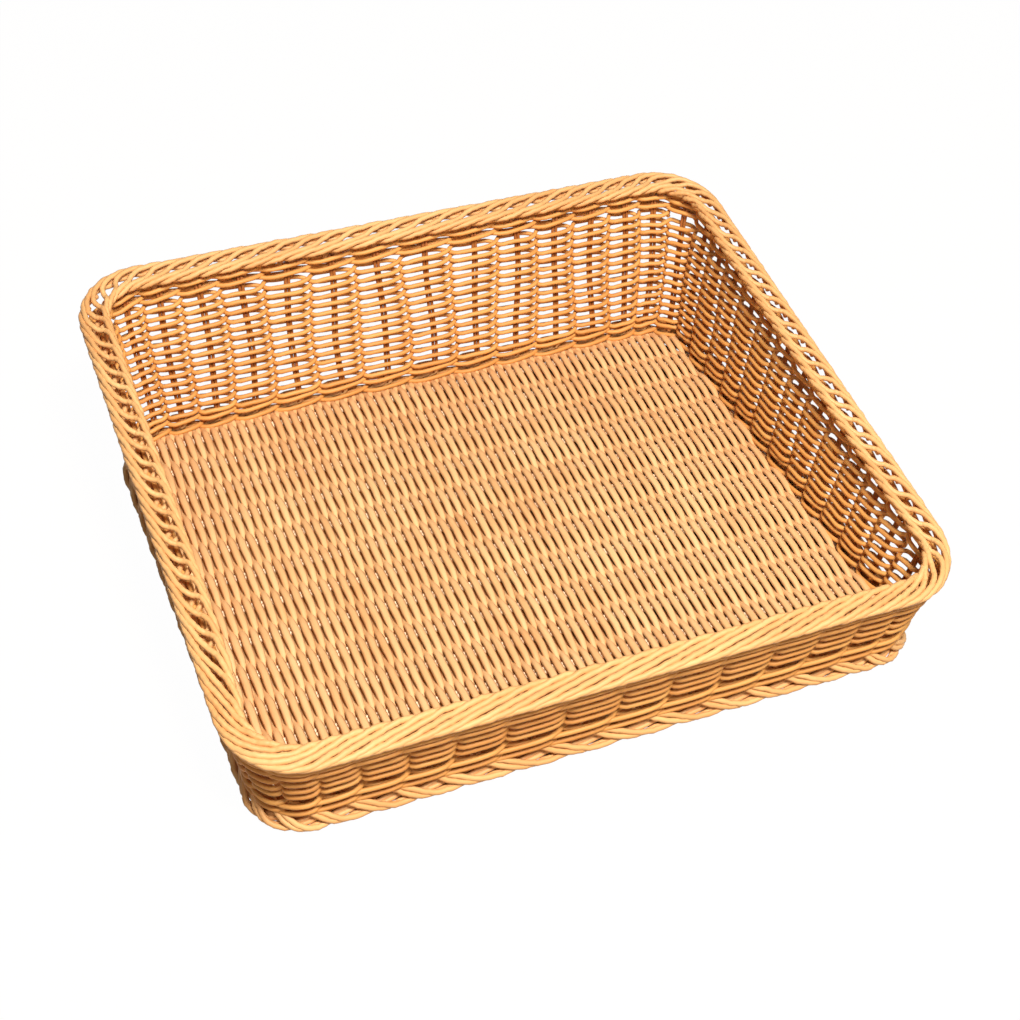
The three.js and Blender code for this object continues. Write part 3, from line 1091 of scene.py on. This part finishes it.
class BASKET_OT_stage(Operator):
    """Set the white ground, the lamps and the camera"""

    bl_idname = "basket.stage"
    bl_label = "Stage"

    def execute(self, context):
        scene = context.scene
        size = 8.0
        corners = [(-size, -size, 0), (size, -size, 0), (size, size, 0), (-size, size, 0)]
        mesh = bpy.data.meshes.new("ground")
        mesh.from_pydata(corners, [], [(0, 1, 2, 3)])
        mesh.materials.append(ground_material(scene.basket_sizes))
        ground = bpy.data.objects.new("ground", mesh)
        scene.collection.objects.link(ground)

        scene.world = bpy.data.worlds.new("plain_light")
        scene.world.use_nodes = True
        tree = scene.world.node_tree
        back = tree.nodes["Background"]
        back.inputs["Color"].default_value = (1, 1, 1, 1)
        strength = tree.nodes.new("ShaderNodeMapRange")
        strength.inputs["To Min"].default_value = 0.055
        strength.inputs["To Max"].default_value = 1.0
        tree.links.new(seen(tree), strength.inputs["Value"])
        tree.links.new(strength.outputs["Result"], back.inputs["Strength"])

        def lamp(name, place, across, power):
            light = bpy.data.lights.new(name, "AREA")
            light.size = across
            light.energy = power
            item = bpy.data.objects.new(name, light)
            scene.collection.objects.link(item)
            item.location = place
            item.rotation_mode = "QUATERNION"
            item.rotation_quaternion = (-Vector(place)).to_track_quat("-Z", "Y")

        lamp("key", place=(-0.02, -1.15, 2.1), across=0.6, power=91)
        lamp("fill", place=(-0.9, -1.9, 1.1), across=0.8, power=9)

        target = Vector((0.02683, 0.0365, 0.0))
        azimuth, elevation, roll = math.radians(-24.2), math.radians(42.02), math.radians(3.18)
        distance = 1.58376
        level = math.cos(elevation)
        away = Vector((math.sin(azimuth) * level, -math.cos(azimuth) * level, math.sin(elevation)))
        data = bpy.data.cameras.new("camera")
        data.sensor_width = 36
        data.lens = 63.09
        data.clip_start, data.clip_end = 0.05, 50
        camera = bpy.data.objects.new("camera", data)
        scene.collection.objects.link(camera)
        unrolled = (-away).to_track_quat("-Z", "Y")
        camera.rotation_mode = "QUATERNION"
        camera.rotation_quaternion = unrolled @ Matrix.Rotation(roll, 3, "Z").to_quaternion()
        camera.location = target + away * distance
        scene.camera = camera
        scene.view_settings.view_transform = "Standard"
        return {"FINISHED"}


class BASKET_PT_pieces(Panel):
    """Lists the basket's pieces, sizes and colours"""

    bl_label = "Basket"
    bl_idname = "BASKET_PT_pieces"
    bl_space_type = "VIEW_3D"
    bl_region_type = "UI"
    bl_category = "Basket"

    def draw(self, context):
        layout = self.layout
        scene = context.scene
        for group in (scene.basket_sizes, scene.basket_canes, scene.basket_colours):
            box = layout.box()
            for name in group.bl_rna.properties.keys():
                if name not in {"rna_type", "name"}:
                    box.prop(group, name)
        for operator in OPERATORS:
            layout.operator(operator.bl_idname)


OPERATORS = (
    BASKET_OT_floor_sticks,
    BASKET_OT_floor_weavers,
    BASKET_OT_stakes,
    BASKET_OT_foot_border,
    BASKET_OT_wall_rows,
    BASKET_OT_rim,
    BASKET_OT_stage,
)
GROUPS = (BasketSizes, CaneSizes, CaneColours)


def register():
    for item in (*GROUPS, *OPERATORS, BASKET_PT_pieces):
        bpy.utils.register_class(item)
    bpy.types.Scene.basket_sizes = PointerProperty(type=BasketSizes)
    bpy.types.Scene.basket_canes = PointerProperty(type=CaneSizes)
    bpy.types.Scene.basket_colours = PointerProperty(type=CaneColours)


def unregister():
    del bpy.types.Scene.basket_colours
    del bpy.types.Scene.basket_canes
    del bpy.types.Scene.basket_sizes
    for item in reversed((*GROUPS, *OPERATORS, BASKET_PT_pieces)):
        bpy.utils.unregister_class(item)


def main():
    register()
    for operator in OPERATORS:
        family, action = operator.bl_idname.split(".")
        getattr(getattr(bpy.ops, family), action)()


if __name__ == "__main__":
    main()
